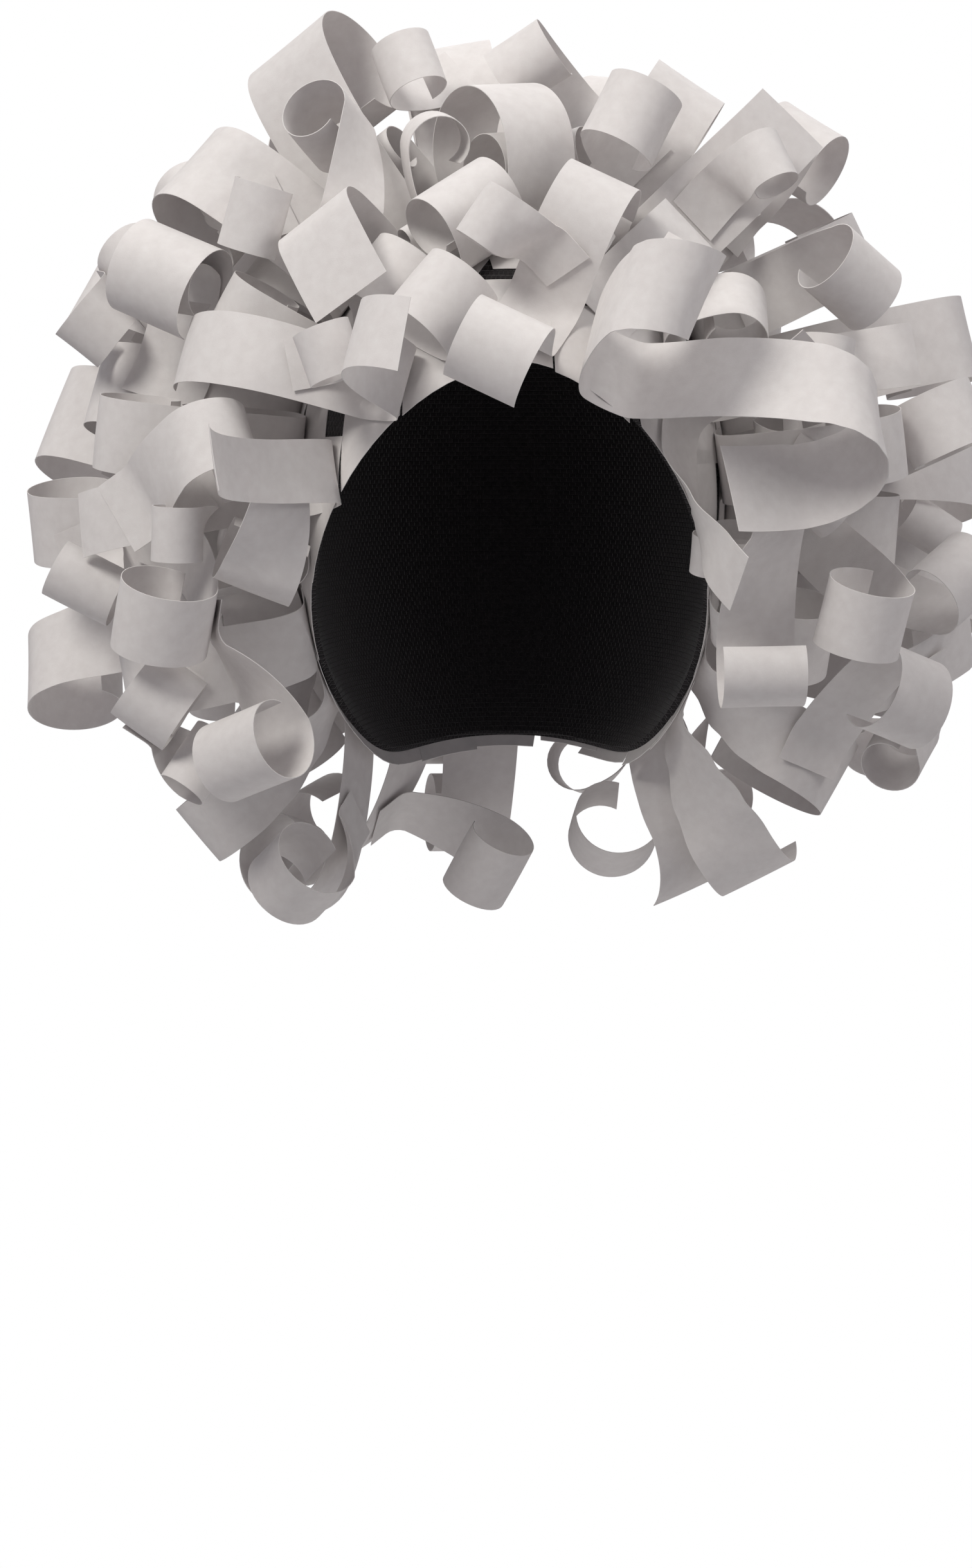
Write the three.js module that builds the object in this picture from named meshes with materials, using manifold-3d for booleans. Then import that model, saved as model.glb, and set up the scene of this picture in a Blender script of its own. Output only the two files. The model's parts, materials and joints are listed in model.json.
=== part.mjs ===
// Paper wig: a fitted cap that carries curled paper strips, each glued on by a short flat foot.
// Millimetres, +Z up, the face looks along -Y. The origin is the crown of the head, inside the cap.
import * as THREE from "three";
import Module from "manifold-3d";

const wasm = await Module();
wasm.setup();

// Driving sizes
const HEAD = { halfWidth: 73, halfLength: 93, dome: 92, below: 125 };
const CAP_WALL = 1.5;
const RIM = { front: 31, side: -48, back: -55 }; // elevation of the cap's edge seen from the head's centre
const PAPER = 1; // wall of a strip
const SHEET = 297; // long side of the sheet that the strips are cut from
const GAP = 0.3; // clearance between neighbours
const TESTED_GAP = 0.27; // clearance that is tested, a little less so that a foot just off the cap passes
const FOOT = 9; // flat stretch that is glued to the cap
const FOOT_BEND = 8; // radius of the bend between foot and stem
const STEP_TURN = 34; // the most that a strip turns between two sections
const STEP_TWIST = 25; // the most that it turns about itself between them
const STEM_TURN = 22; // a stem is not quite straight, it bows towards its curl
const STEP_LENGTH = 36; // the longest straight stretch between two sections
const CURL_PARTS = 3; // arcs of falling radius that make one curl
// A second end's size, the angle that it bends up from the cap, and the sense of its curl, where 1 rolls
// over the foot and -1 rolls away from it. They are tried in turn until one has room.
const SECOND_SIZES = [0.85, 0.7, 0.55, 0.4, 0.3];
const SECOND_RISES = [85, 65, 100, 50, 115];
const SECOND_SENSES = [-1, 1];
const CAP_COLUMNS = 28;
const CAP_ROWS = 9;

const LOOKS = {
  cap: { color: 0x1c191b, roughness: 0.95 },
  paper: { color: 0xe9e7ea, roughness: 0.8 },
};

// Each row is one strip. azimuth and elevation place the foot on the head: 0 is the front, 90 the
// viewer's right. With no spin the foot points at the face. The strip bends up by rise, runs on for
// stem while it turns about itself by twist, and curls through turn at a radius that falls to end
// times its start. slant makes the curl a helix, and tail is the straight free end.
const COLUMNS = ["name", "azimuth", "elevation", "spin", "width",
  "rise", "stem", "twist", "radius", "turn", "end", "slant", "tail"];
const STRIPS = [
  // Around the face and over the forehead
  ["face_curl_01", 5, 37, 204, 26, 78, 20, 0, 18, -170, 0.9, 0, 0],
  ["face_curl_02", 24, 27, -90, 30, 58, 58, 0, 20, -216, 1, 15, 26],
  ["face_curl_03", -28, 24, 124, 25, 62, 34, 0, 32, -95, 0.8, 0, 0],
  ["face_curl_04", -48, 4, 124, 22, 66, 52, 0, 40, -40, 1, 0, 0],
  ["face_curl_05", 26, 42, -140, 25, 72, 16, 0, 15, -150, 0.9, 0, 0],
  ["face_curl_06", -62, -14, 60, 22, 90, 10, 0, 15, 300, 0.75, 0, 0],
  ["face_curl_07", 42, 12, -20, 24, 14, 42, -50, 60, 10, 1, 0, 0],
  ["face_curl_08", 60, -12, 204, 14, 90, 14, 0, 14, 310, 0.85, 4, 0],
  ["face_curl_09", -14, 37, 136, 26, 72, 8, 0, 16, -150, 0.9, 0, 0],
  ["face_curl_10", -13, 54, -40, 31, 90, 12, 0, 12, 320, 0.8, 0, 0],
  ["face_curl_11", 10, 70, -35, 28, 85, 20, 0, 23, 250, 0.9, 0, 0],
  ["face_curl_12", -43, 48, 180, 30, 84, 22, 0, 14, 110, 1, 0, 26],
  ["face_curl_13", -76, -24, 14, 28, 80, 44, 20, 20, 270, 0.9, 0, 0],
  ["face_curl_14", -82, -36, 70, 25, 55, 50, 75, 22, 200, 1, 0, 0],
  ["face_curl_15", -104, -50, 104, 22, 14, 58, 0, 18, 600, 0.35, 0, 0],
  ["face_curl_16", -97, -46, 90, 28, 30, 52, 75, 30, 60, 1, 0, 0],
  ["face_curl_17", 75, -27, -40, 26, 75, 22, -40, 16, 320, 0.7, 0, 0],
  ["face_curl_18", 90, -40, -70, 28, 60, 40, -75, 24, 250, 0.9, 0, 0],
  ["face_curl_19", 102, -49, -90, 30, 35, 52, -75, 24, 90, 1, 0, 10],
  ["face_curl_20", 115, -52, -97, 26, 25, 58, -75, 30, 60, 1, 0, 0],
  // The outline, from the left over the crown to the right
  ["outer_curl_01", -120, -20, 60, 30, 65, 96, 60, 18, 300, 0.9, 0, 0],
  ["outer_curl_02", -116, 7, 20, 38, 80, 84, 20, 20, 310, 0.9, 0, 0],
  ["outer_curl_03", -110, 29, -10, 30, 88, 78, 0, 20, 310, 0.85, 0, 0],
  ["outer_curl_04", -92, 16, -15, 30, 90, 58, 0, 15, 320, 0.85, 0, 0],
  ["outer_curl_05", -78, 51, -30, 34, 90, 54, 0, 19, 320, 0.85, 0, 0],
  ["outer_curl_06", -102, 68, 10, 36, 85, 62, 0, 22, 300, 0.85, 0, 0],
  ["outer_curl_07", -160, 72, 0, 33, 82, 54, 0, 19, 300, 0.85, 0, 0],
  ["outer_curl_08", 150, 64, 15, 36, 80, 50, 0, 18, 300, 0.85, 0, 0],
  ["outer_curl_09", 100, 72, 0, 28, 85, 46, 0, 15, 310, 0.8, 0, 0],
  ["outer_curl_10", 74, 55, 0, 30, 88, 52, 0, 60, 15, 1, 0, 0],
  ["outer_curl_11", 90, 42, 0, 26, 88, 54, 0, 14, 300, 0.8, 0, 0],
  ["outer_curl_12", 98, 24, 0, 30, 85, 76, 0, 18, 310, 0.85, 0, 0],
  ["outer_curl_13", 107, 4, 0, 30, 85, 80, 0, 20, 300, 0.85, 0, 0],
  ["outer_curl_14", 116, -18, -10, 30, 82, 96, 0, 18, 310, 0.85, 0, 0],
  ["outer_curl_15", 126, -32, -50, 28, 70, 84, -50, 17, 300, 0.85, 0, 0],
  // Between the face and the outline, left then right
  ["middle_curl_01", -50, 32, -10, 26, 90, 26, 0, 14, 310, 0.8, 0, 0],
  ["middle_curl_02", -70, 10, 0, 26, 90, 52, 0, 15, 300, 0.85, 0, 0],
  ["middle_curl_03", -93, -8, 15, 26, 88, 78, 0, 16, 300, 0.85, 0, 0],
  ["middle_curl_04", 36, 50, -10, 28, 90, 12, 0, 13, 320, 0.7, 0, 0],
  ["middle_curl_05", 52, 36, 80, 24, 90, 18, 0, 12, 320, 0.8, 0, 0],
  ["middle_curl_06", 58, 26, -160, 23, 70, 60, 0, 60, -10, 1, 0, 0],
  ["middle_curl_07", 70, 2, 10, 24, 90, 46, 0, 14, 300, 0.85, 0, 0],
  ["middle_curl_08", 86, -8, 0, 24, 90, 44, 0, 14, 320, 0.8, 0, 0],
  ["middle_curl_09", 98, -22, 0, 26, 90, 40, 0, 14, 300, 0.85, 0, 0],
  // Back and nape
  ["back_curl_01", 180, 44, 90, 32, 80, 36, 0, 19, -290, 0.85, 0, 0],
  ["back_curl_02", 148, 22, 100, 32, 80, 36, 0, 19, -290, 0.85, 0, 0],
  ["back_curl_03", -148, 22, 80, 32, 80, 36, 0, 19, -290, 0.85, 0, 0],
  ["back_curl_04", 180, 4, 90, 32, 80, 36, 0, 19, -290, 0.85, 0, 0],
  ["back_curl_05", 144, -12, 90, 30, 80, 30, 0, 16, -290, 0.85, 0, 0],
  ["back_curl_06", -150, -14, 80, 30, 80, 32, 0, 17, -290, 0.85, 0, 0],
  ["back_curl_07", 180, -30, 95, 32, 80, 36, 0, 18, -290, 0.85, 0, 0],
  ["back_curl_08", 150, -42, 100, 30, 80, 32, 0, 16, -290, 0.85, 0, 0],
  ["back_curl_09", -148, -40, 90, 30, 80, 30, 0, 15, -290, 0.85, 0, 0],
  ["back_curl_10", 180, 24, 10, 26, 88, 44, 0, 14, 300, 0.8, 0, 0],
  ["back_curl_11", 162, 60, -20, 26, 88, 44, 0, 15, 300, 0.8, 0, 0],
  ["back_curl_12", -164, 60, 20, 26, 88, 44, 0, 15, 300, 0.8, 0, 0],
  ["back_curl_13", 162, -22, 0, 24, 88, 40, 0, 13, 300, 0.8, 0, 0],
  ["back_curl_14", -166, -24, 0, 24, 88, 40, 0, 13, 300, 0.8, 0, 0],
  ["back_curl_15", -172, -48, 172, 28, 40, 46, 0, 16, 300, 0.8, 0, 0],
];

// A strip that would run into one laid before it is moved, turned, made smaller or cut shorter, by as
// little as will do. Each list is paired with what one unit of the change counts for.
const CHANGES = {
  sideways: { values: [0, 5, -5, 10, -10, 15, -15], weight: 1 / 5 },
  upwards: { values: [0, 5, -5, 10, -10, 15, -15], weight: 1 / 5 },
  turned: { values: [0, 15, -15], weight: 1 / 15 },
  smaller: { values: [0, 0.15, 0.3], weight: 1 / 0.15 },
  shorter: { values: [0, 0.25, 0.5], weight: 2 / 0.2 },
};
const RIM_MARGIN = 5; // degrees that a foot stays above the cap's edge

const UP = new THREE.Vector3(0, 0, 1);
const radians = THREE.MathUtils.degToRad;

// A point of the head: half an ellipsoid above its widest level and a deeper half below it.
function onHead(azimuth, elevation, wall) {
  const toward = new THREE.Vector3(0, -Math.cos(radians(elevation)), Math.sin(radians(elevation)))
    .applyAxisAngle(UP, radians(azimuth));
  const reach = new THREE.Vector3(HEAD.halfWidth, HEAD.halfLength, elevation < 0 ? HEAD.below : HEAD.dome);
  const scale = toward.clone().divide(reach.addScalar(wall)).length();
  const point = toward.divideScalar(scale);
  point.z -= HEAD.dome;
  return point;
}

function rimElevation(azimuth) {
  const swing = (RIM.front - RIM.back) / 2;
  const middle = (RIM.front + RIM.back) / 2;
  const dip = (middle - RIM.side) / 2;
  return middle - dip + swing * Math.cos(radians(azimuth)) + dip * Math.cos(radians(2 * azimuth));
}

function geometryOf(points, faces) {
  const geometry = new THREE.BufferGeometry().setFromPoints(points);
  geometry.setIndex(faces.flat());
  return geometry;
}

function solidOf(geometry) {
  return new wasm.Manifold(new wasm.Mesh({
    numProp: 3,
    vertProperties: geometry.getAttribute("position").array,
    triVerts: new Uint32Array(geometry.index.array),
  }));
}

// Splits four corners into two triangles along the diagonal that keeps the skin bulging outwards.
function bulgingPair(points, [a, b, c, d]) {
  const plane = new THREE.Plane().setFromCoplanarPoints(points[a], points[b], points[c]);
  return plane.distanceToPoint(points[d]) > 0 ? [[a, b, d], [b, c, d]] : [[a, b, c], [a, c, d]];
}

// The cap: two skins of rings from the crown down to the rim, joined along the rim.
function capGeometry() {
  const points = [];
  const faces = [];
  const skins = [CAP_WALL, 0].map((wall) => {
    const start = points.length;
    points.push(onHead(0, 90, wall));
    for (let row = 1; row <= CAP_ROWS; row++) {
      for (let column = 0; column < CAP_COLUMNS; column++) {
        const azimuth = (360 * column) / CAP_COLUMNS;
        const elevation = 90 - ((90 - rimElevation(azimuth)) * row) / CAP_ROWS;
        points.push(onHead(azimuth, elevation, wall));
      }
    }
    return (row, column) =>
      row === 0 ? start : start + 1 + (row - 1) * CAP_COLUMNS + (column % CAP_COLUMNS);
  });
  for (let column = 0; column < CAP_COLUMNS; column++) {
    skins.forEach((at, skin) => {
      for (let row = 0; row < CAP_ROWS; row++) {
        const [below, next] = [row + 1, column + 1];
        const corners = [at(row, column), at(below, column), at(below, next), at(row, next)];
        if (skin === 1) corners.reverse();
        faces.push(...(row > 0 ? bulgingPair(points, corners) : [corners.slice(0, 3)]));
      }
    });
    const [outer, nextOuter] = [skins[0](CAP_ROWS, column), skins[0](CAP_ROWS, column + 1)];
    const [inner, nextInner] = [skins[1](CAP_ROWS, column), skins[1](CAP_ROWS, column + 1)];
    faces.push([outer, inner, nextInner], [outer, nextInner, nextOuter]);
  }
  return geometryOf(points, faces);
}

// The stretches of a strip from the middle of its foot on: each has a length, a turn and a twist.
function stretches(strip, size) {
  const made = [
    { length: FOOT / 2, turn: 0, twist: 0 },
    { length: FOOT_BEND * radians(strip.rise), turn: strip.rise, twist: 0 },
    { length: strip.stem * size, turn: STEM_TURN * Math.sign(strip.turn), twist: strip.twist },
  ];
  for (let part = 0; part < CURL_PARTS; part++) {
    const radius = strip.radius * size * (1 + ((strip.end - 1) * part) / (CURL_PARTS - 1));
    const turn = strip.turn / CURL_PARTS;
    const twist = turn * Math.tan(radians(strip.slant));
    made.push({ length: radius * Math.abs(radians(turn)), turn, twist });
  }
  made.push({ length: strip.tail * size, turn: 0, twist: 0 });
  return made.filter((stretch) => stretch.length > 0);
}

// Walks from the foot along the stretches and notes the place and the directions at every section.
function walk(start, list) {
  const place = start.place.clone();
  const forward = start.forward.clone();
  const normal = start.normal.clone();
  const across = forward.clone().cross(normal);
  const found = [];
  for (const { length, turn, twist } of list) {
    const bends = [Math.abs(turn) / STEP_TURN, Math.abs(twist) / STEP_TWIST, length / STEP_LENGTH];
    const steps = Math.max(1, ...bends.map((bend) => Math.ceil(bend)));
    const half = radians(turn) / steps / 2;
    const chord = (length / steps) * (half ? Math.sin(half) / half : 1);
    for (let step = 0; step < steps; step++) {
      forward.applyAxisAngle(across, half);
      place.addScaledVector(forward, chord);
      forward.applyAxisAngle(across, half);
      across.applyAxisAngle(forward, radians(twist) / steps);
      normal.copy(across).cross(forward);
      found.push({ place: place.clone(), forward: forward.clone(), normal: normal.clone() });
    }
  }
  return found;
}

const behind = (foot) => ({ ...foot, forward: foot.forward.clone().negate() });
const facingBack = (section) => ({ ...section, forward: section.forward.clone().negate() });

function pointsOf(geometry) {
  const position = geometry.getAttribute("position");
  return Array.from({ length: position.count }, (_, index) =>
    new THREE.Vector3().fromBufferAttribute(position, index));
}

// Where a strip is glued on: the middle of its foot, just clear of the cap's highest corners, with the
// direction in which the foot points and the one that leads away from the cap.
function footOf(strip, cap) {
  const aim = onHead(strip.azimuth, strip.elevation, 0);
  const centre = new THREE.Vector3(0, 0, -HEAD.dome);
  const inward = centre.sub(aim).normalize();
  const ray = new THREE.Raycaster(aim.clone().addScaledVector(inward, -HEAD.dome), inward);
  const [hit] = ray.intersectObject(cap.mesh);
  const normal = hit.face.normal.clone();
  const right = new THREE.Vector3(Math.cos(radians(strip.azimuth)), Math.sin(radians(strip.azimuth)), 0);
  const heading = radians(180 + strip.azimuth + strip.spin);
  const forward = normal.clone().cross(right).normalize().multiplyScalar(Math.cos(heading));
  forward.addScaledVector(right, Math.sin(heading));
  forward.projectOnPlane(normal).normalize();
  const lift = Math.max(...cap.points.map((point) => point.clone().sub(hit.point).dot(normal)));
  return { place: hit.point.addScaledVector(normal, lift + GAP + PAPER / 2), forward, normal };
}

// The sections of a strip from the cut end at its foot to the free end. keep shortens the free end.
function sections(strip, foot, size, keep) {
  const [heel] = walk(behind(foot), [{ length: FOOT / 2, turn: 0, twist: 0 }]);
  const list = walk(foot, stretches(strip, size));
  return [facingBack(heel), ...list.slice(0, Math.max(1, Math.round(list.length * keep)))];
}

// The sections of a second end, which leaves the foot the other way.
function secondEnd(strip, foot, { size, rise, sense }) {
  const turned = { ...strip, rise, twist: 0, turn: sense * Math.abs(strip.turn) };
  return walk(behind(foot), stretches(turned, size));
}

function secondEnds() {
  const senses = (size, rise) => SECOND_SENSES.map((sense) => ({ size, rise, sense }));
  return SECOND_SIZES.flatMap((size) => SECOND_RISES.flatMap((rise) => senses(size, rise)));
}

// A ribbon of rectangular section through the given places; grow thickens it on every side. Both of
// its faces are split along the same diagonals, so that a twisted stretch keeps its thickness.
function ribbonGeometry(list, width, grow) {
  const points = [];
  const faces = [];
  const last = list.length - 1;
  list.forEach(({ place, forward, normal }, index) => {
    const across = forward.clone().cross(normal);
    const overrun = index === 0 ? -grow : index === last ? grow : 0;
    for (const [out, side] of [[1, -1], [1, 1], [-1, 1], [-1, -1]]) {
      points.push(place.clone()
        .addScaledVector(forward, overrun)
        .addScaledVector(normal, out * (PAPER / 2 + grow))
        .addScaledVector(across, side * (width / 2 + grow)));
    }
  });
  for (let index = 0; index < last; index++) {
    for (let corner = 0; corner < 4; corner++) {
      const a = index * 4 + corner;
      const b = index * 4 + ((corner + 1) % 4);
      if (corner === 2) faces.push([a, b, a + 4], [b, b + 4, a + 4]);
      else faces.push([a, b, b + 4], [a, b + 4, a + 4]);
    }
  }
  const end = last * 4;
  faces.push([0, 3, 2], [0, 2, 1], [end, end + 1, end + 2], [end, end + 2, end + 3]);
  return geometryOf(points, faces);
}

// True where a ribbon, thickened by the clearance, stays out of everything laid before it.
function isClear(list, width, laid) {
  const solid = solidOf(ribbonGeometry(list, width, TESTED_GAP));
  const box = solid.boundingBox();
  const clear = laid.every((other) => {
    const apart = [0, 1, 2].some((axis) =>
      box.min[axis] > other.box.max[axis] || box.max[axis] < other.box.min[axis]);
    if (apart) return true;
    const shared = solid.intersect(other.solid);
    const empty = shared.isEmpty();
    shared.delete();
    return empty;
  });
  solid.delete();
  return clear;
}

// Every combination of changes, the smallest first.
function changesInOrder() {
  let made = [{ cost: 0 }];
  for (const [key, { values, weight }] of Object.entries(CHANGES)) {
    made = made.flatMap((change) => values.map((value) =>
      ({ ...change, [key]: value, cost: change.cost + Math.abs(value) * weight })));
  }
  return made.sort((one, other) => one.cost - other.cost);
}

// The first clear way to lay a strip, with the smallest change to its row.
function layStrip(strip, cap, laid, changes) {
  for (const change of changes) {
    const azimuth = strip.azimuth + change.sideways;
    const elevation = strip.elevation + change.upwards;
    if (elevation < rimElevation(azimuth) + RIM_MARGIN) continue;
    const tried = { ...strip, azimuth, elevation, spin: strip.spin + change.turned };
    const foot = footOf(tried, cap);
    const list = sections(tried, foot, 1 - change.smaller, 1 - change.shorter);
    if (isClear(list, strip.width, laid)) return { strip, foot, list };
  }
  throw new Error(`no room for ${strip.name}`);
}

function lengthOf(list) {
  return list.slice(1).reduce((sum, { place }, index) => sum + place.distanceTo(list[index].place), 0);
}

// A strip with a second curled end where there is room for one, so that it is glued at its middle.
function withSecondEnd(entry, laid) {
  const { strip, foot, list } = entry;
  const others = laid.filter((other) => other !== entry);
  for (const end of secondEnds()) {
    const second = secondEnd(strip, foot, end);
    const whole = [...second.toReversed().map(facingBack), ...list.slice(1)];
    if (lengthOf(whole) > SHEET) continue;
    if (!isClear(second, strip.width, others)) continue;
    if (isClear(second.slice(1), strip.width, [entry])) return whole;
  }
  return list;
}

function named(name, geometry, looks) {
  geometry.computeVertexNormals();
  const mesh = new THREE.Mesh(geometry, new THREE.MeshStandardMaterial({ ...looks, flatShading: true }));
  mesh.name = name;
  return mesh;
}

// What later strips have to stay clear of.
function placed(entry) {
  const solid = solidOf(entry.geometry);
  return { ...entry, solid, box: solid.boundingBox() };
}

const group = new THREE.Group();
group.name = "paper_wig";
const capMesh = named("cap", capGeometry(), LOOKS.cap);
group.add(capMesh);
const cap = { mesh: capMesh, points: pointsOf(capMesh.geometry) };
const laid = [placed({ geometry: capMesh.geometry })];
const changes = changesInOrder();
for (const row of STRIPS) {
  const strip = Object.fromEntries(COLUMNS.map((column, index) => [column, row[index]]));
  const entry = layStrip(strip, cap, laid, changes);
  laid.push(placed({ ...entry, geometry: ribbonGeometry(entry.list, strip.width, 0) }));
}
for (let index = 1; index < laid.length; index++) {
  const { strip } = laid[index];
  const geometry = ribbonGeometry(withSecondEnd(laid[index], laid), strip.width, 0);
  laid[index] = placed({ ...laid[index], geometry });
  group.add(named(strip.name, geometry, LOOKS.paper));
}

export default group;
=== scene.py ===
import json
import math
import random

import bpy
import numpy as np
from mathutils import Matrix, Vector
from mathutils.bvhtree import BVHTree


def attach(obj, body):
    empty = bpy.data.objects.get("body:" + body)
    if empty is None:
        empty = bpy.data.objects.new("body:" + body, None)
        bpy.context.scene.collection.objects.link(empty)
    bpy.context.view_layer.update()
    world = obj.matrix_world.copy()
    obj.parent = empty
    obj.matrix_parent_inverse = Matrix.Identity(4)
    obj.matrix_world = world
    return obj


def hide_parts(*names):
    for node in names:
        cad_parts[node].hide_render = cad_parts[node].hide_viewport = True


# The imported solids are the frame. All sizes are metres and all angles degrees.
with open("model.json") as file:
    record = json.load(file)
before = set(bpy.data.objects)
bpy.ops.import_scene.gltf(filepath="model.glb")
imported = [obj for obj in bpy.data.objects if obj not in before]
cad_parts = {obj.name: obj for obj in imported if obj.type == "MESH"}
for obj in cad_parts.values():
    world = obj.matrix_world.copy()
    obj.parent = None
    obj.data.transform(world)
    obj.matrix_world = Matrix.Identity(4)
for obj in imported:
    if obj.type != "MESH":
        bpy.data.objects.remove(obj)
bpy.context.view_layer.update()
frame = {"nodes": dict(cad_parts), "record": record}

# The photograph: its height in pixels and the size of one pixel at the face
PHOTO_HEIGHT = 2439
PIXEL = 0.00021
CAMERA_PLACE = Vector((-0.008, -1.285, -0.040))
CAMERA_AIM = Vector((-0.008, -0.085, -0.1845))
SENSOR_MM = 36

# The stage: a pale floor well below the wig, a white room and soft lights
FLOOR_LEVEL = -0.75
FLOOR_RADIUS = 0.7
FLOOR_COLOUR = (0.7, 0.7, 0.7, 1)
ROOM_COLOUR = (0.985, 0.945, 1.0, 1)
ROOM_STRENGTH = 0.26
LIGHT_AIM = Vector((0, 0, -0.09))
LIGHTS = {
    "key": {"place": (-0.95, -1.2, 1.3), "size": 0.8, "watts": 23, "colour": (1.0, 0.97, 0.92)},
    "top": {"place": (0.1, 0.1, 1.6), "size": 1.2, "watts": 7, "colour": (1.0, 0.98, 0.96)},
    "fill": {"place": (1.3, -0.7, 0.9), "size": 1.0, "watts": 7, "colour": (1.0, 0.97, 0.93)},
    "back": {"place": (0.3, 1.5, 0.9), "size": 1.2, "watts": 10, "colour": (1.0, 0.98, 0.96)},
}

# The head and the cap that is drawn over it, as in the solids
HEAD = {"half_width": 0.073, "half_length": 0.093, "dome": 0.092, "below": 0.125}
RIM = {"front": 31, "side": -48, "back": -55}
CAP_WALL = 0.0012
CAP_COLUMNS = 168
CAP_ROWS = 56
# The hem swells over the length of its fold, and only a share of the swelling shows outside
HEM = {"depth": 0.011, "fold": 0.0012, "swell": 0.0007, "outside": 0.3}
STITCH = {"Scale": 1, "Brick Width": 0.0022, "Row Height": 0.0016,
          "Mortar Size": 0.00032, "Mortar Smooth": 1.0}

# Paper strips. Paces are radians for each metre of strip.
SOLID_WALL = 0.001
WALL_TOLERANCE = SOLID_WALL / 50
MERGE_DECIMALS = 6
PAPER_WALL = 0.00026
STEP = 0.0022
CROSS_LINES = 6
CUP = 0.00025
CUP_LEVEL = 0.4
WAVE = 0.00022
WAVE_PACE = (60, 150)
TRIM = 0.0004
TRIM_PACE = (40, 75)
END_SKEW = 0.0011
END_FADE = 0.006
SHARP_EDGE = 50

# The first layer: strips glued flat, row above row from the cap's edge to the crown
UNDERLAY = {"rows": 7, "length": 0.037, "width": 0.025, "spacing": 0.0245, "overhang": 0.004,
            "shortest": 0.012, "heights": (0.0004, 0.0007), "tilt": 12, "jitter": 0.003,
            "sections": 12, "narrowest_ring": 0.012}
MERIDIAN_POINTS = 120
RIM_MARGIN = 4
GOLDEN_ANGLE = 137.50776

# Strips laid between the ones that have a solid of their own, the largest first. They are glued to
# the cap or to the straight stretch of another strip.
SIZES = [
    {"stem": 0.060, "radius": 0.018, "width": 0.029},
    {"stem": 0.045, "radius": 0.016, "width": 0.027},
    {"stem": 0.032, "radius": 0.014, "width": 0.026},
    {"stem": 0.022, "radius": 0.012, "width": 0.024},
    {"stem": 0.014, "radius": 0.010, "width": 0.021},
]
VARIETY = (0.85, 1.15)
PASSES = 6
FOOT = 0.009
FOOT_BEND = 0.008
FOOT_LIFT = 0.0011
STEM_TURN = 22
CURL = {"turn": (230, 330), "senses": (1, 1, -1), "tightening": (0.7, 0.95), "parts": 3}

# Where their feet are glued: all over the cap, low at the sides of the neck, and on other strips
OVER_CAP = {"count": 300, "lowest_share": 1.9, "sway": 20, "heading": 90, "rise": (70, 90)}
HANGING = {"azimuths": range(60, 156, 3), "above_rim": (4, 45), "heading": 60, "rise": (10, 75), "twist": 90}
ON_STRIP = {"spacing": 3, "least_cosine": 0.92, "heading": 120, "rise": (20, 85), "twist": 50}

# The room that they keep to, an egg that is squarer at the lower sides, and what they keep out of
CLEARANCE = 0.0006
HEAD_CLEARANCE = 0.0015
OBSTACLE_STRIDE = 2
REACH = {"centre": (0, 0.018, -0.086), "half_size": (0.174, 0.132, 0.159), "lower_half": 0.168,
         "powers_above": (2, 2, 2), "powers_below": (3, 2, 3)}
FACE_WINDOW = {"centre": (0, -0.128), "half_size": (0.064, 0.084), "behind": 0.01}
CROWN_LEVEL = 0.0
BACK_DEPTH = 0.07
SEED = 7


def unit(vectors):
    """Vectors of length 1 with the same directions."""
    return vectors / np.linalg.norm(vectors, axis=-1, keepdims=True)


def distances_along(points):
    """How far each point of a line is from its first one, measured along the line."""
    return np.concatenate([[0], np.cumsum(np.linalg.norm(np.diff(points, axis=0), axis=1))])


def merged_node(node):
    """A node's corner points, each once, and its triangles by their numbers."""
    mesh = frame["nodes"][node].data
    points = np.empty(len(mesh.vertices) * 3)
    mesh.vertices.foreach_get("co", points)
    points = points.reshape(-1, 3)
    rounded = np.round(points, MERGE_DECIMALS)
    _, first, number = np.unique(rounded, axis=0, return_index=True, return_inverse=True)
    number = number.ravel()
    triangles = [[int(number[corner]) for corner in face.vertices] for face in mesh.polygons]
    return points[first], triangles


def edge_ring(points, triangles):
    """The middle of a strip's cut edge, in order all the way round the strip."""
    mate = {}
    for a, b, c in triangles:
        for one, other in ((a, b), (b, c), (c, a)):
            if abs(np.linalg.norm(points[one] - points[other]) - SOLID_WALL) < WALL_TOLERANCE:
                mate[one] = other
                mate[other] = one
    links = {}
    for triangle in triangles:
        pairs = {min(corner, mate[corner]) for corner in triangle}
        if len(pairs) == 2:
            one, other = pairs
            links.setdefault(one, set()).add(other)
            links.setdefault(other, set()).add(one)
    ring = [min(links)]
    ring.append(min(links[ring[0]]))
    while len(ring) < len(links):
        ring.append(next(step for step in links[ring[-1]] if step != ring[-2]))
    return np.array([(points[corner] + points[mate[corner]]) / 2 for corner in ring])


def long_sides(ring):
    """The two long sides of a strip: the halves of its edge that keep the same distance all along."""
    count = len(ring) // 2
    halves = []
    for shift in range(count):
        turned = np.roll(ring, -shift, axis=0)
        left = turned[:count]
        right = turned[count:][::-1]
        spread = np.linalg.norm(right - left, axis=1).std()
        halves.append((spread, shift, left, right))
    _, _, left, right = min(halves, key=lambda half: half[:2])
    return left, right


def mirrored(tangent, chord):
    """The direction at the far end of a chord whose arc starts along tangent."""
    return 2 * np.dot(tangent, chord) * chord - tangent


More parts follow.
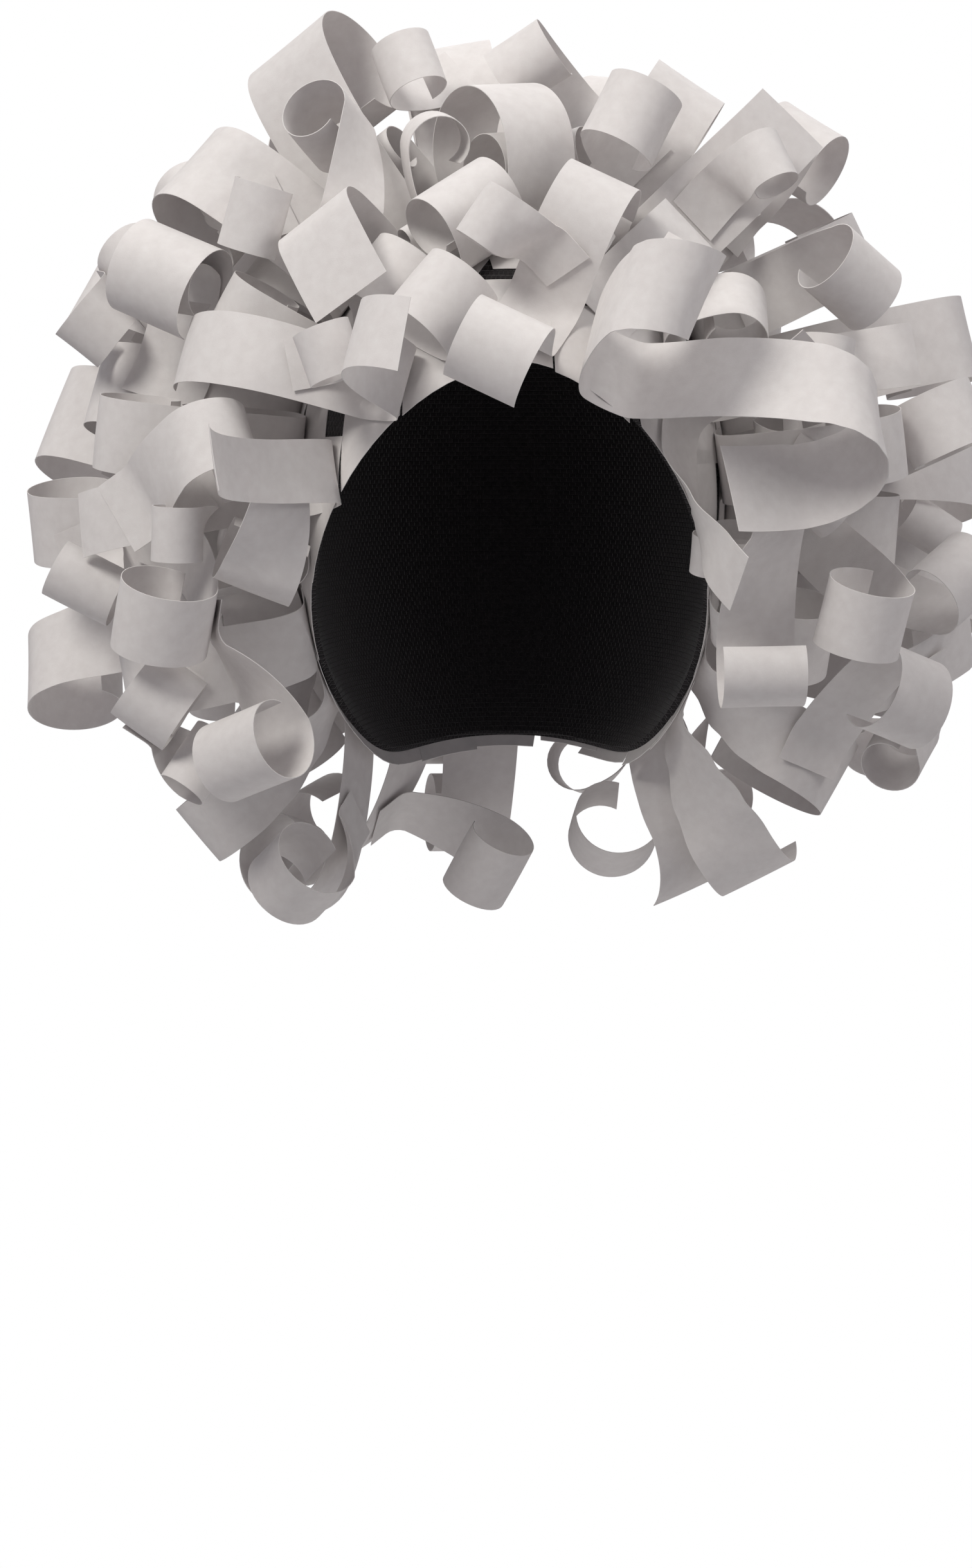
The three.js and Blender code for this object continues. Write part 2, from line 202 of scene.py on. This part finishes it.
def smooth_path(left, right):
    """A fine line through the sections of a strip, with its direction and its cross direction."""
    centre = (left + right) / 2
    across = unit(right - left)
    chords = np.diff(centre, axis=0)
    lengths = np.linalg.norm(chords, axis=1)
    chords = unit(chords)
    inner = unit(chords[:-1] + chords[1:])
    first = mirrored(inner[0], chords[0])
    last = mirrored(inner[-1], chords[-1])
    tangents = np.vstack([first, inner, last])
    points, directions, crosses = [], [], []
    for index, length in enumerate(lengths):
        steps = max(1, math.ceil(length / STEP))
        end = index == len(lengths) - 1
        t = (np.arange(steps + end) / steps)[:, None]
        start, stop = centre[index], centre[index + 1]
        go, come = tangents[index] * length, tangents[index + 1] * length
        points.append(start * (2 * t**3 - 3 * t**2 + 1) + go * (t**3 - 2 * t**2 + t)
                      + stop * (3 * t**2 - 2 * t**3) + come * (t**3 - t**2))
        directions.append(start * (6 * t**2 - 6 * t) + go * (3 * t**2 - 4 * t + 1)
                          + stop * (6 * t - 6 * t**2) + come * (3 * t**2 - 2 * t))
        ease = t * t * (3 - 2 * t)
        crosses.append(across[index] * (1 - ease) + across[index + 1] * ease)
    direction = unit(np.vstack(directions))
    cross = np.vstack(crosses)
    cross = unit(cross - direction * np.sum(cross * direction, axis=1, keepdims=True))
    width = float(np.linalg.norm(right - left, axis=1).mean())
    return {"centre": np.vstack(points), "direction": direction, "across": cross, "width": width}


def shell(grid, normal, wall):
    """A closed thin wall round a grid of points: its corner points and faces."""
    rows, columns, _ = grid.shape
    points = np.stack([grid + normal * wall / 2, grid - normal * wall / 2], axis=2).reshape(-1, 3)
    number = np.arange(rows * columns * 2).reshape(rows, columns, 2)
    faces = []
    for layer, step in ((0, 1), (1, -1)):
        sheet = number[:, :, layer]
        quads = np.stack([sheet[:-1, :-1], sheet[:-1, 1:], sheet[1:, 1:], sheet[1:, :-1]], axis=-1)
        faces.append(quads.reshape(-1, 4)[:, ::step])
    ring = np.concatenate([number[0, :-1], number[:-1, -1], number[-1, :0:-1], number[:0:-1, 0]])
    after = np.roll(ring, -1, axis=0)
    faces.append(np.stack([ring[:, 0], ring[:, 1], after[:, 1], after[:, 0]], axis=-1))
    return points, np.vstack(faces)


def paper_shell(path, draw):
    """A hand-cut strip of paper along a path: a little cupped and wavy, with ends cut by eye."""
    centre, direction, across = path["centre"], path["direction"], path["across"]
    normal = np.cross(across, direction)
    along = distances_along(centre)
    side = np.linspace(-1, 1, CROSS_LINES)
    trims = []
    for _ in range(2):
        phase = draw.uniform(0, 2 * math.pi)
        pace = draw.uniform(*TRIM_PACE)
        trims.append(path["width"] / 2 + TRIM * (np.sin(along * pace + phase) - 1))
    half = np.where(side[None, :] < 0, trims[0][:, None], trims[1][:, None])
    cup = CUP * draw.uniform(-1, 1) * (side[None, :] ** 2 - CUP_LEVEL)
    phase = draw.uniform(0, 2 * math.pi)
    pace = draw.uniform(*WAVE_PACE)
    tilt = draw.uniform(-1, 1)
    wave = WAVE * np.sin(along * pace + phase)[:, None] * (1 + tilt * side[None, :]) / 2
    skew = np.zeros((len(along), CROSS_LINES))
    for distance in (along, along[-1] - along):
        fade = np.exp(-distance / END_FADE)[:, None]
        skew += END_SKEW * draw.uniform(-1, 1) * fade * side[None, :]
    grid = (centre[:, None, :]
            + across[:, None, :] * (half * side[None, :])[:, :, None]
            + normal[:, None, :] * (cup + wave)[:, :, None]
            + direction[:, None, :] * skew[:, :, None])
    normals = np.repeat(normal[:, None, :], CROSS_LINES, axis=1)
    return shell(grid, normals, PAPER_WALL)


def add_piece(name, points, faces, material, slot):
    """A mesh object that rides on the part's one body."""
    mesh = bpy.data.meshes.new(name)
    mesh.from_pydata(points.tolist(), [], [list(face) for face in faces])
    mesh.validate()
    mesh.shade_smooth()
    mesh.set_sharp_from_angle(angle=math.radians(SHARP_EDGE))
    mesh.materials.append(material)
    piece = bpy.data.objects.new(name, mesh)
    bpy.context.collection.objects.link(piece)
    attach(piece, "root")
    return piece


def add_joined(name, shells, material):
    """Many strips of paper as one piece."""
    starts = np.cumsum([0] + [len(points) for points, _ in shells])
    points = np.vstack([points for points, _ in shells])
    faces = np.vstack([faces + start for start, (_, faces) in zip(starts, shells)])
    add_piece(name, points, faces, material, "paper")


def node_tree(name):
    """A new material with its nodes, its links and its shader."""
    material = bpy.data.materials.new(name)
    material.use_nodes = True
    nodes = material.node_tree.nodes
    return material, nodes, material.node_tree.links, nodes["Principled BSDF"]


def noise(nodes, links, place, scale, detail, roughness=0.55):
    """The output of a noise texture read at place."""
    node = nodes.new("ShaderNodeTexNoise")
    node.inputs["Scale"].default_value = scale
    node.inputs["Detail"].default_value = detail
    node.inputs["Roughness"].default_value = roughness
    links.new(place, node.inputs["Vector"])
    return node.outputs["Fac"]


def ramp(nodes, links, value, stops):
    """A colour that follows value through the stops."""
    node = nodes.new("ShaderNodeValToRGB")
    elements = node.color_ramp.elements
    while len(elements) < len(stops):
        elements.new(0.5)
    for element, (position, colour) in zip(elements, stops):
        element.position = position
        element.color = (*colour, 1)
    links.new(value, node.inputs["Fac"])
    return node.outputs["Color"]


def paper_material():
    """Uncoated white paper: cloudy fibres in the sheet, a fine tooth on it."""
    material, nodes, links, shader = node_tree("white_paper")
    place = nodes.new("ShaderNodeTexCoord").outputs["Object"]
    clouds = ramp(nodes, links, noise(nodes, links, place, 260, 6), [
        (0.30, (0.755, 0.728, 0.718)), (0.55, (0.790, 0.765, 0.755)), (0.75, (0.815, 0.795, 0.785))])
    links.new(clouds, shader.inputs["Base Color"])
    gloss = nodes.new("ShaderNodeMapRange")
    gloss.inputs["To Min"].default_value = 0.68
    gloss.inputs["To Max"].default_value = 0.88
    links.new(noise(nodes, links, place, 900, 4), gloss.inputs["Value"])
    links.new(gloss.outputs["Result"], shader.inputs["Roughness"])
    tooth = nodes.new("ShaderNodeBump")
    tooth.inputs["Strength"].default_value = 0.16
    tooth.inputs["Distance"].default_value = 0.0003
    links.new(noise(nodes, links, place, 2400, 5, 0.65), tooth.inputs["Height"])
    links.new(tooth.outputs["Normal"], shader.inputs["Normal"])
    shader.inputs["Specular IOR Level"].default_value = 0.25
    shader.inputs["Subsurface Weight"].default_value = 0.18
    shader.inputs["Subsurface Radius"].default_value = (1.0, 0.9, 0.95)
    shader.inputs["Subsurface Scale"].default_value = 0.0006
    return material


def cap_material():
    """Black stretch knit: rows of stitches round the head, a soft fuzz."""
    material, nodes, links, shader = node_tree("black_knit")
    place = nodes.new("ShaderNodeTexCoord").outputs["UV"]
    stitches = nodes.new("ShaderNodeTexBrick")
    stitches.offset = 0.5
    for socket, value in STITCH.items():
        stitches.inputs[socket].default_value = value
    links.new(place, stitches.inputs["Vector"])
    yarn = ramp(nodes, links, noise(nodes, links, place, 420, 5), [
        (0.30, (0.010, 0.009, 0.010)), (0.70, (0.026, 0.023, 0.025))])
    links.new(yarn, shader.inputs["Base Color"])
    relief = nodes.new("ShaderNodeBump")
    relief.invert = True
    relief.inputs["Strength"].default_value = 0.7
    relief.inputs["Distance"].default_value = 0.0005
    links.new(stitches.outputs["Fac"], relief.inputs["Height"])
    fuzz = nodes.new("ShaderNodeBump")
    fuzz.inputs["Strength"].default_value = 0.35
    fuzz.inputs["Distance"].default_value = 0.0003
    links.new(noise(nodes, links, place, 1800, 4), fuzz.inputs["Height"])
    links.new(relief.outputs["Normal"], fuzz.inputs["Normal"])
    links.new(fuzz.outputs["Normal"], shader.inputs["Normal"])
    shader.inputs["Roughness"].default_value = 0.92
    shader.inputs["Specular IOR Level"].default_value = 0.2
    shader.inputs["Sheen Weight"].default_value = 0.25
    shader.inputs["Sheen Roughness"].default_value = 0.5
    return material


def rim_elevation(azimuth):
    """How high the cap's edge is. An azimuth of 0 is the front."""
    swing = (RIM["front"] - RIM["back"]) / 2
    middle = (RIM["front"] + RIM["back"]) / 2
    dip = (middle - RIM["side"]) / 2
    return middle - dip + swing * np.cos(np.radians(azimuth)) + dip * np.cos(np.radians(2 * azimuth))


def head_sizes(is_low, wall):
    """The head's half sizes grown by wall: a dome above its widest level, a deeper half below."""
    height = np.where(is_low, HEAD["below"], HEAD["dome"])
    width = np.full_like(height, HEAD["half_width"])
    length = np.full_like(height, HEAD["half_length"])
    return np.stack([width, length, height], axis=-1) + np.asarray(wall)[..., None]


def on_head(azimuth, elevation, wall):
    """Points that are wall outside the head's surface."""
    a, e = np.radians(azimuth), np.radians(elevation)
    toward = np.stack([np.sin(a) * np.cos(e), -np.cos(a) * np.cos(e), np.sin(e)], axis=-1)
    half = head_sizes(toward[..., 2] < 0, wall)
    points = toward / np.linalg.norm(toward / half, axis=-1, keepdims=True)
    return points - np.array([0, 0, HEAD["dome"]])


def head_level(points):
    """1 at the clearance kept from the head, less inside it, more outside it."""
    lifted = points + np.array([0, 0, HEAD["dome"]])
    return np.linalg.norm(lifted / head_sizes(lifted[..., 2] < 0, HEAD_CLEARANCE), axis=-1)


def cap_shell():
    """The cap's two skins with a doubled hem along the edge: corner points and faces."""
    azimuth = np.arange(CAP_COLUMNS + 1) * 360 / CAP_COLUMNS
    share = np.linspace(0, 1, CAP_ROWS + 1)[1:]
    elevation = 90 - (90 - rim_elevation(azimuth)[None, :]) * share[:, None]
    spread = np.broadcast_to(azimuth[None, :], elevation.shape)
    middle = on_head(spread, elevation, CAP_WALL / 2)
    lengths = np.linalg.norm(np.diff(middle, axis=0), axis=-1)
    drop = np.vstack([np.zeros_like(lengths[:1]), np.cumsum(lengths, axis=0)])
    to_rim = drop[-1][None, :] - drop
    fold = np.clip((HEM["depth"] - to_rim) / HEM["fold"], 0, 1)
    swell = HEM["swell"] * fold * fold * (3 - 2 * fold)
    skins = [on_head(spread, elevation, CAP_WALL + swell * HEM["outside"]),
             on_head(spread, elevation, -swell)]
    tops = [on_head(np.zeros(1), np.full(1, 90.0), wall) for wall in (CAP_WALL, 0)]
    points = np.vstack([skin[:, :-1].reshape(-1, 3) for skin in skins] + tops)
    ring = CAP_ROWS * CAP_COLUMNS
    number = np.arange(ring).reshape(CAP_ROWS, CAP_COLUMNS)
    beside = np.roll(number, -1, axis=1)
    outer = np.stack([number[:-1], number[1:], beside[1:], beside[:-1]], axis=-1).reshape(-1, 4)
    inner = outer[:, ::-1] + ring
    edge = np.stack([number[-1], number[-1] + ring, beside[-1] + ring, beside[-1]], axis=-1)
    crown = np.stack([np.full(CAP_COLUMNS, 2 * ring), number[0], beside[0]], axis=-1)
    lining = np.stack([np.full(CAP_COLUMNS, 2 * ring + 1), beside[0] + ring, number[0] + ring], axis=-1)
    return points, [*outer, *inner, *edge, *crown, *lining]


def lay_out_knit(mesh):
    """The knit's own coordinates in metres: the way round the head, and up."""
    mean_radius = (HEAD["half_width"] + HEAD["half_length"]) / 2
    layer = mesh.uv_layers.new(name="knit")
    for face in mesh.polygons:
        corners = [mesh.vertices[corner].co for corner in face.vertices]
        turns = [math.atan2(corner.x, -corner.y) for corner in corners]
        for loop, corner, turn in zip(face.loop_indices, corners, turns):
            whole = 2 * math.pi if max(turns) - turn > math.pi else 0
            layer.data[loop].uv = ((turn + whole) * mean_radius, corner.z)


def add_cap(material):
    """The knitted cap."""
    cap = add_piece("knit_cap", *cap_shell(), material, "cap")
    lay_out_knit(cap.data)
    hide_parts("cap")


def add_strips(material, draw):
    """Each strip that has a solid of its own, as paper. Returns the paths of all of them."""
    paths = []
    for node in sorted(frame["nodes"]):
        if node == "cap":
            continue
        path = smooth_path(*long_sides(edge_ring(*merged_node(node))))
        piece = add_piece("paper_" + node, *paper_shell(path, draw), material, "paper")
        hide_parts(node)
        paths.append(path)
    return paths


def meridian(azimuth):
    """A line up the cap from just below its edge to the crown, and where on it the edge is."""
    rim = rim_elevation(azimuth)
    elevation = np.linspace(rim - RIM_MARGIN, 90, MERIDIAN_POINTS)
    points = on_head(azimuth, elevation, CAP_WALL)
    along = distances_along(points)
    radius = np.hypot(points[:, 0], points[:, 1])
    edge = np.interp(rim, elevation, along)
    return {"elevation": elevation, "along": along, "radius": radius, "edge": edge}


def flat_strip(azimuth, along, elevation, radius, lean, height, trim):
    """A strip glued flat up the cap. With a trim of 1 its lower end follows the cap's edge."""
    side = np.linspace(-0.5, 0.5, CROSS_LINES) * UNDERLAY["width"]
    shift = side[None, :] + (along - along.mean())[:, None] * lean
    turned = azimuth + np.degrees(shift / radius[:, None])
    trimmed = np.linspace(trim, 0, len(along))[:, None]
    risen = elevation[:, None] + trimmed * (rim_elevation(turned) - rim_elevation(azimuth))
    grid = on_head(turned, risen, CAP_WALL + height)
    outer = on_head(turned, risen, CAP_WALL + 2 * height)
    return shell(grid, unit(outer - grid), PAPER_WALL)


def add_underlay(material, draw):
    """A first layer of strips glued flat on the cap, so that little of it shows between the curls.
    The lowest row is trimmed along the cap's edge."""
    heights = UNDERLAY["heights"]
    shells = []
    for row in range(UNDERLAY["rows"]):
        azimuth = row * GOLDEN_ANGLE
        end = azimuth + 360
        column = row
        while azimuth < end:
            line = meridian(azimuth)
            low = line["edge"] + row * UNDERLAY["length"] - UNDERLAY["overhang"]
            low += draw.uniform(-1, 1) * UNDERLAY["jitter"]
            highest = line["along"][-1] - UNDERLAY["shortest"]
            high = min(low + UNDERLAY["length"] - UNDERLAY["jitter"], highest)
            along = np.linspace(low, max(low, high), UNDERLAY["sections"])
            elevation = np.interp(along, line["along"], line["elevation"])
            radius = np.interp(along, line["along"], line["radius"])
            if high - low > UNDERLAY["shortest"]:
                lean = math.tan(math.radians(draw.uniform(-1, 1) * UNDERLAY["tilt"]))
                height = heights[column % len(heights)]
                shells.append(flat_strip(azimuth, along, elevation, radius, lean, height, int(row == 0)))
            azimuth += math.degrees(UNDERLAY["spacing"] / max(radius.mean(), UNDERLAY["narrowest_ring"]))
            column += 1
    add_joined("paper_underlay", shells, material)


def obstacle(path, wall, margin):
    """A strip as a search tree of a coarse wall, margin wider on every side, with its box."""
    count = len(path["centre"])
    keep = sorted({*range(0, count, OBSTACLE_STRIDE), count - 1})
    centre, direction, across = path["centre"][keep], path["direction"][keep], path["across"][keep]
    side = np.array([-1, 1]) * (path["width"] / 2 + margin)
    grid = centre[:, None, :] + across[:, None, :] * side[None, :, None]
    normal = np.repeat(np.cross(across, direction)[:, None, :], 2, axis=1)
    points, faces = shell(grid, normal, wall + 2 * margin)
    return BVHTree.FromPolygons(points.tolist(), faces.tolist()), points.min(axis=0), points.max(axis=0)


class Laid:
    """The strips that are in place."""

    def __init__(self):
        self.trees = []
        self.lows = np.empty((0, 3))
        self.highs = np.empty((0, 3))

    def add(self, path):
        tree, low, high = obstacle(path, PAPER_WALL, 0)
        self.trees.append(tree)
        self.lows = np.vstack([self.lows, low])
        self.highs = np.vstack([self.highs, high])

    def is_clear(self, path):
        """True where a strip keeps the clearance from all of them."""
        tree, low, high = obstacle(path, PAPER_WALL, CLEARANCE)
        near = ((self.lows < high) & (self.highs > low)).all(axis=1)
        return not any(tree.overlap(self.trees[index]) for index in np.flatnonzero(near))


def planar_line(stretches):
    """A line in a plane, of stretches that each have a length and a turn: its places and its angles."""
    turns, lengths = [0.0], [0.0]
    for length, turn in stretches:
        steps = max(1, math.ceil(length / STEP))
        turns += [turn / steps] * steps
        lengths += [length / steps] * steps
    angle = np.radians(np.cumsum(turns))
    halfway = angle - np.radians(turns) / 2
    along = np.cumsum(lengths * np.cos(halfway))
    out = np.cumsum(lengths * np.sin(halfway))
    return along, out, angle


def laid_line(line, start, forward, normal):
    """A planar line put in place: its points and its directions."""
    along, out, angle = line
    centre = start + along[:, None] * forward + out[:, None] * normal
    direction = np.cos(angle)[:, None] * forward + np.sin(angle)[:, None] * normal
    return centre, direction


def curl_line(turn, radius, tightening):
    """A curl that gets tighter towards its end."""
    parts = CURL["parts"]
    stretches = []
    for part in range(parts):
        tightened = radius * (1 + (tightening - 1) * part / (parts - 1))
        stretches.append((tightened * math.radians(abs(turn)) / parts, turn / parts))
    return planar_line(stretches)


def filling_path(seat, size, draw):
    """A glued foot, a bend, a bowed stem that may be twisted, and a curl."""
    forward, normal, rise = seat["forward"], seat["normal"], seat["rise"]
    turn = draw.uniform(*CURL["turn"]) * draw.choice(CURL["senses"])
    tightening = draw.uniform(*CURL["tightening"])
    stem = size["stem"] * draw.uniform(*VARIETY)
    radius = size["radius"] * draw.uniform(*VARIETY)
    width = size["width"] * draw.uniform(*VARIETY)
    side = np.cross(forward, normal)
    foot = planar_line([(FOOT, 0), (FOOT_BEND * math.radians(rise), rise)])
    foot_centre, foot_direction = laid_line(foot, seat["root"] - forward * FOOT / 2, forward, normal)
    foot_across = np.tile(side, (len(foot_centre), 1))
    start = foot_direction[-1]
    stalk = planar_line([(stem, math.copysign(STEM_TURN, turn))])
    stalk_centre, stalk_direction = laid_line(stalk, foot_centre[-1], start, np.cross(side, start))
    twist = np.radians(seat["twist"]) * np.linspace(0, 1, len(stalk_centre))[:, None]
    stalk_across = side * np.cos(twist) + np.cross(stalk_direction, side) * np.sin(twist)
    start = stalk_direction[-1]
    curl = curl_line(turn, radius, tightening)
    curl_centre, curl_direction = laid_line(curl, stalk_centre[-1], start, np.cross(stalk_across[-1], start))
    curl_across = np.tile(stalk_across[-1], (len(curl_centre), 1))
    return {"centre": np.vstack([foot_centre, stalk_centre[1:], curl_centre[1:]]),
            "direction": np.vstack([foot_direction, stalk_direction[1:], curl_direction[1:]]),
            "across": np.vstack([foot_across, stalk_across[1:], curl_across[1:]]),
            "width": width}


def cap_seat(azimuth, elevation, heading, rise, twist=0):
    """A place on the cap where a foot is glued. A heading of 0 points up the head."""
    around = np.array([azimuth, azimuth, azimuth + 1])
    above = np.array([elevation, elevation + 1, elevation])
    nearby = on_head(around, above, CAP_WALL + FOOT_LIFT)
    up, right = unit(nearby[1] - nearby[0]), unit(nearby[2] - nearby[0])
    normal = unit(np.cross(right, up))
    forward = up * math.cos(math.radians(heading)) + right * math.sin(math.radians(heading))
    forward = unit(forward - normal * np.dot(forward, normal))
    return {"root": nearby[0], "forward": forward, "normal": normal, "rise": rise, "twist": twist}


def cap_seats(draw):
    """Places all over the cap, from the crown down."""
    for step in range(OVER_CAP["count"]):
        height = 1 - OVER_CAP["lowest_share"] * (step + 0.5) / OVER_CAP["count"]
        elevation = math.degrees(math.asin(height))
        sway = draw.uniform(-OVER_CAP["sway"], OVER_CAP["sway"])
        azimuth = (step * GOLDEN_ANGLE + sway + 180) % 360 - 180
        if elevation > rim_elevation(azimuth) + RIM_MARGIN:
            heading = 180 + azimuth + draw.uniform(-OVER_CAP["heading"], OVER_CAP["heading"])
            yield cap_seat(azimuth, elevation, heading, draw.uniform(*OVER_CAP["rise"]))


def hanging_seats(draw):
    """Places low on the cap, from which strips hang at the sides of the neck."""
    for azimuth in HANGING["azimuths"]:
        for side in (-1, 1):
            elevation = rim_elevation(azimuth) + draw.uniform(*HANGING["above_rim"])
            heading = 180 + draw.uniform(-1, 1) * HANGING["heading"]
            twist = draw.uniform(-1, 1) * HANGING["twist"]
            yield cap_seat(side * azimuth, elevation, heading, draw.uniform(*HANGING["rise"]), twist)


def strip_seats(paths, draw):
    """Places on the straight stretches of laid strips where the next strip may be glued on."""
    spacing = ON_STRIP["spacing"]
    for path in paths:
        for middle in range(spacing, len(path["centre"]) - spacing, spacing):
            before, after = path["direction"][middle - spacing], path["direction"][middle + spacing]
            if np.dot(before, after) < ON_STRIP["least_cosine"]:
                continue
            direction, across = path["direction"][middle], path["across"][middle]
            normal = np.cross(across, direction) * draw.choice((-1, 1))
            heading = math.radians(draw.uniform(-ON_STRIP["heading"], ON_STRIP["heading"]))
            forward = direction * math.cos(heading) + across * math.sin(heading)
            root = path["centre"][middle] + normal * FOOT_LIFT
            rise = draw.uniform(*ON_STRIP["rise"])
            twist = draw.uniform(-ON_STRIP["twist"], ON_STRIP["twist"])
            yield {"root": root, "forward": forward, "normal": normal, "rise": rise, "twist": twist}


def has_room(path):
    """True where a strip stays in the wig's reach, out of the head, the face and the stated openings."""
    edge = path["across"] * path["width"] / 2
    points = np.vstack([path["centre"] - edge, path["centre"], path["centre"] + edge])
    reach = np.abs(points - np.array(REACH["centre"])) / np.array(REACH["half_size"])
    below = points[:, 2] < REACH["centre"][2]
    reach[below, 2] *= REACH["half_size"][2] / REACH["lower_half"]
    powers = np.where(below[:, None], REACH["powers_below"], REACH["powers_above"])
    if (np.sum(reach ** powers, axis=1) > 1).any():
        return False
    if (head_level(points) < 1).any():
        return False
    window = (points[:, [0, 2]] - np.array(FACE_WINDOW["centre"])) / np.array(FACE_WINDOW["half_size"])
    if ((np.linalg.norm(window, axis=1) < 1) & (points[:, 1] < FACE_WINDOW["behind"])).any():
        return False
    for opening in frame["record"]["physics"]["openings"]:
        low, high = np.array(opening["box_m"])
        if ((points > low) & (points < high)).all(axis=1).any():
            return False
    return True


def zone_of(path):
    """The part of the wig that a strip is in. Left is the viewer's left in the photograph."""
    x, y, z = path["centre"].mean(axis=0)
    if z > CROWN_LEVEL:
        return "crown"
    if y > BACK_DEPTH:
        return "back"
    return "left" if x < 0 else "right"


def add_fillings(material, paths, draw):
    """More strips in the room that is left, from the largest that fit to the smallest, joined by zone."""
    laid = Laid()
    for path in paths:
        laid.add(path)
    added = []
    for size in SIZES:
        for _ in range(PASSES):
            seats = [*hanging_seats(draw), *cap_seats(draw), *strip_seats(paths + added, draw)]
            for seat in seats:
                path = filling_path(seat, size, draw)
                if has_room(path) and laid.is_clear(path):
                    laid.add(path)
                    added.append(path)
    zones = {}
    for path in added:
        zones.setdefault(zone_of(path), []).append(paper_shell(path, draw))
    for zone, shells in sorted(zones.items()):
        add_joined("paper_between_" + zone, shells, material)


def look_at(place, aim):
    """The rotation of a camera or light at place that points at aim."""
    return (aim - place).to_track_quat("-Z", "Y").to_euler()


def add_camera():
    """The photograph's camera: a little above the face and looking slightly down."""
    camera = bpy.data.cameras.new("photo_camera")
    camera.sensor_fit = "VERTICAL"
    camera.sensor_height = SENSOR_MM
    focal_pixels = (CAMERA_AIM - CAMERA_PLACE).length / PIXEL
    camera.lens = focal_pixels * SENSOR_MM / PHOTO_HEIGHT
    holder = bpy.data.objects.new("photo_camera", camera)
    holder.location = CAMERA_PLACE
    holder.rotation_euler = look_at(CAMERA_PLACE, CAMERA_AIM)
    bpy.context.collection.objects.link(holder)
    bpy.context.scene.camera = holder


def add_light(name, place, size, watts, colour):
    """A round soft light that points at the wig."""
    light = bpy.data.lights.new(name, "AREA")
    light.shape = "DISK"
    light.size = size
    light.energy = watts
    light.color = colour
    holder = bpy.data.objects.new(name, light)
    holder.location = place
    holder.rotation_euler = look_at(Vector(place), LIGHT_AIM)
    bpy.context.collection.objects.link(holder)


def add_room():
    """A dim white room that the camera sees as plain white."""
    world = bpy.data.worlds.new("white_room")
    bpy.context.scene.world = world
    world.use_nodes = True
    nodes, links = world.node_tree.nodes, world.node_tree.links
    room = nodes["Background"]
    room.inputs["Color"].default_value = ROOM_COLOUR
    room.inputs["Strength"].default_value = ROOM_STRENGTH
    seen = nodes.new("ShaderNodeBackground")
    seen.inputs["Color"].default_value = (1, 1, 1, 1)
    ray = nodes.new("ShaderNodeLightPath")
    mix = nodes.new("ShaderNodeMixShader")
    links.new(ray.outputs["Is Camera Ray"], mix.inputs["Fac"])
    links.new(room.outputs["Background"], mix.inputs[1])
    links.new(seen.outputs["Background"], mix.inputs[2])
    links.new(mix.outputs["Shader"], nodes["World Output"].inputs["Surface"])


def add_stage():
    """The floor, the room and the lights, the strongest from the upper left."""
    bpy.context.scene.view_settings.view_transform = "Standard"
    add_room()
    bpy.ops.mesh.primitive_circle_add(vertices=96, radius=FLOOR_RADIUS, fill_type="NGON",
                                      location=(0, 0, FLOOR_LEVEL))
    floor = bpy.context.object
    floor.name = "floor"
    material, _, _, shader = node_tree("pale_floor")
    shader.inputs["Base Color"].default_value = FLOOR_COLOUR
    shader.inputs["Roughness"].default_value = 0.9
    floor.data.materials.append(material)
    for name, light in LIGHTS.items():
        add_light(name, **light)


draw = random.Random(SEED)
paper = paper_material()
strip_paths = add_strips(paper, draw)
add_underlay(paper, draw)
add_fillings(paper, strip_paths, draw)
add_cap(cap_material())
add_camera()
add_stage()
